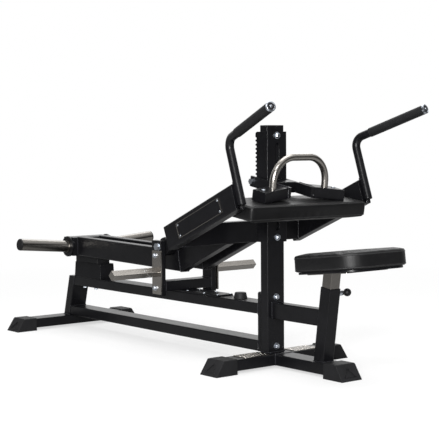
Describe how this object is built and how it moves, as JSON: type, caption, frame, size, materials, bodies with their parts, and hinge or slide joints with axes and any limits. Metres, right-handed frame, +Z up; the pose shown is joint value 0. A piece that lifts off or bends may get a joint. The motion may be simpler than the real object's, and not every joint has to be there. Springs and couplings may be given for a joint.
{
  "type": "plate-loaded seated press machine",
  "caption": "Seated press-down machine: floor frame, pivoting lever with weight horns and handles, adjustable thigh pad and sliding seat.",
  "frame": {"origin": "on the floor, at the middle of the overall length and width", "axes": "+X from the loading end towards the seat, +Y to the seated user's right, +Z up"},
  "size_m": [1.9582, 0.7504, 0.9363],
  "materials": {
    "black_coat": "fine satin powder coat",
    "stainless": "brushed stainless steel",
    "zinc_steel": "bright zinc",
    "rubber": "matt moulded rubber",
    "plastic": "satin moulded plastic",
    "board": "black-covered plywood",
    "upholstery": "smooth black vinyl upholstery"
  },
  "bodies": {
    "frame": {"front_foot_bar": "black_coat", "rear_foot_bar": "black_coat", "front_spine_bar": "black_coat", "front_boots": "rubber", "rear_boots": "rubber", "tip_boot": "rubber", "tread_plates": "stainless", "column": "black_coat", "column_cap": "plastic", "rail_flange": "black_coat", "rear_upright": "black_coat", "upper_rail": "black_coat", "lower_rail": "black_coat", "seat_brace": "black_coat", "seat_sleeve": "black_coat", "pin_barrel": "zinc_steel", "rack_plate": "black_coat", "yoke_base_plate": "black_coat", "yoke_cross_beam": "black_coat", "yoke_upright_left": "black_coat", "yoke_upright_right": "black_coat", "storage_peg_left": "stainless", "storage_peg_right": "stainless", "pivot_bolt": "zinc_steel", "rest_block": "black_coat", "rest_pad": "rubber", "front_bumper": "rubber"},
    "lever": {"lever_hub": "black_coat", "pivot_bushes": "plastic", "rear_beam_left": "black_coat", "rear_beam_right": "black_coat", "forward_tube_left": "black_coat", "forward_tube_right": "black_coat", "horn_carrier": "black_coat", "weight_horn_left": "stainless", "weight_horn_right": "stainless", "horn_caps": "plastic", "lever_cross_beam": "black_coat", "side_arm_left": "black_coat", "side_arm_right": "black_coat", "handle_left": "black_coat", "handle_right": "black_coat", "grip_left": "rubber", "grip_right": "rubber", "grip_caps": "stainless", "badge_plate": "black_coat"},
    "lock_pin": {"lock_pin": "zinc_steel"},
    "pad_carriage": {"carriage_bar_left": "black_coat", "carriage_bar_right": "black_coat", "carriage_cross_tube": "black_coat", "pad_arm_left": "black_coat", "pad_arm_right": "black_coat", "assist_handle": "stainless", "thigh_pad": "upholstery"},
    "seat": {"seat_post": "stainless", "seat_plate": "stainless", "seat_board": "board", "seat_pad": "upholstery"},
    "pull_knob": {"pull_knob": "plastic"}
  },
  "joints": [
    {"name": "lever_press", "type": "hinge", "parent": "frame", "child": "lever", "pos_m": [-0.09559, 0, 0.408], "axis": [0, 1, 0], "range_deg": [0, 31]},
    {"name": "pad_height", "type": "slide", "parent": "frame", "child": "lock_pin", "axis": [0, 0, 1], "range_m": [-0.06, 0.12]},
    {"name": "pad_lift", "type": "hinge", "parent": "lock_pin", "child": "pad_carriage", "pos_m": [0.37611, 0, 0.66805], "axis": [0, -1, 0], "range_deg": [0, 6]},
    {"name": "seat_height", "type": "slide", "parent": "frame", "child": "seat", "axis": [0.1409, 0, 0.99], "range_m": [-0.04, 0.1]},
    {"name": "knob_pull", "type": "slide", "parent": "frame", "child": "pull_knob", "axis": [0, 1, 0], "range_m": [0, 0.008], "stiffness_N_per_m": 800, "springref_m": -0.005}
  ]
}
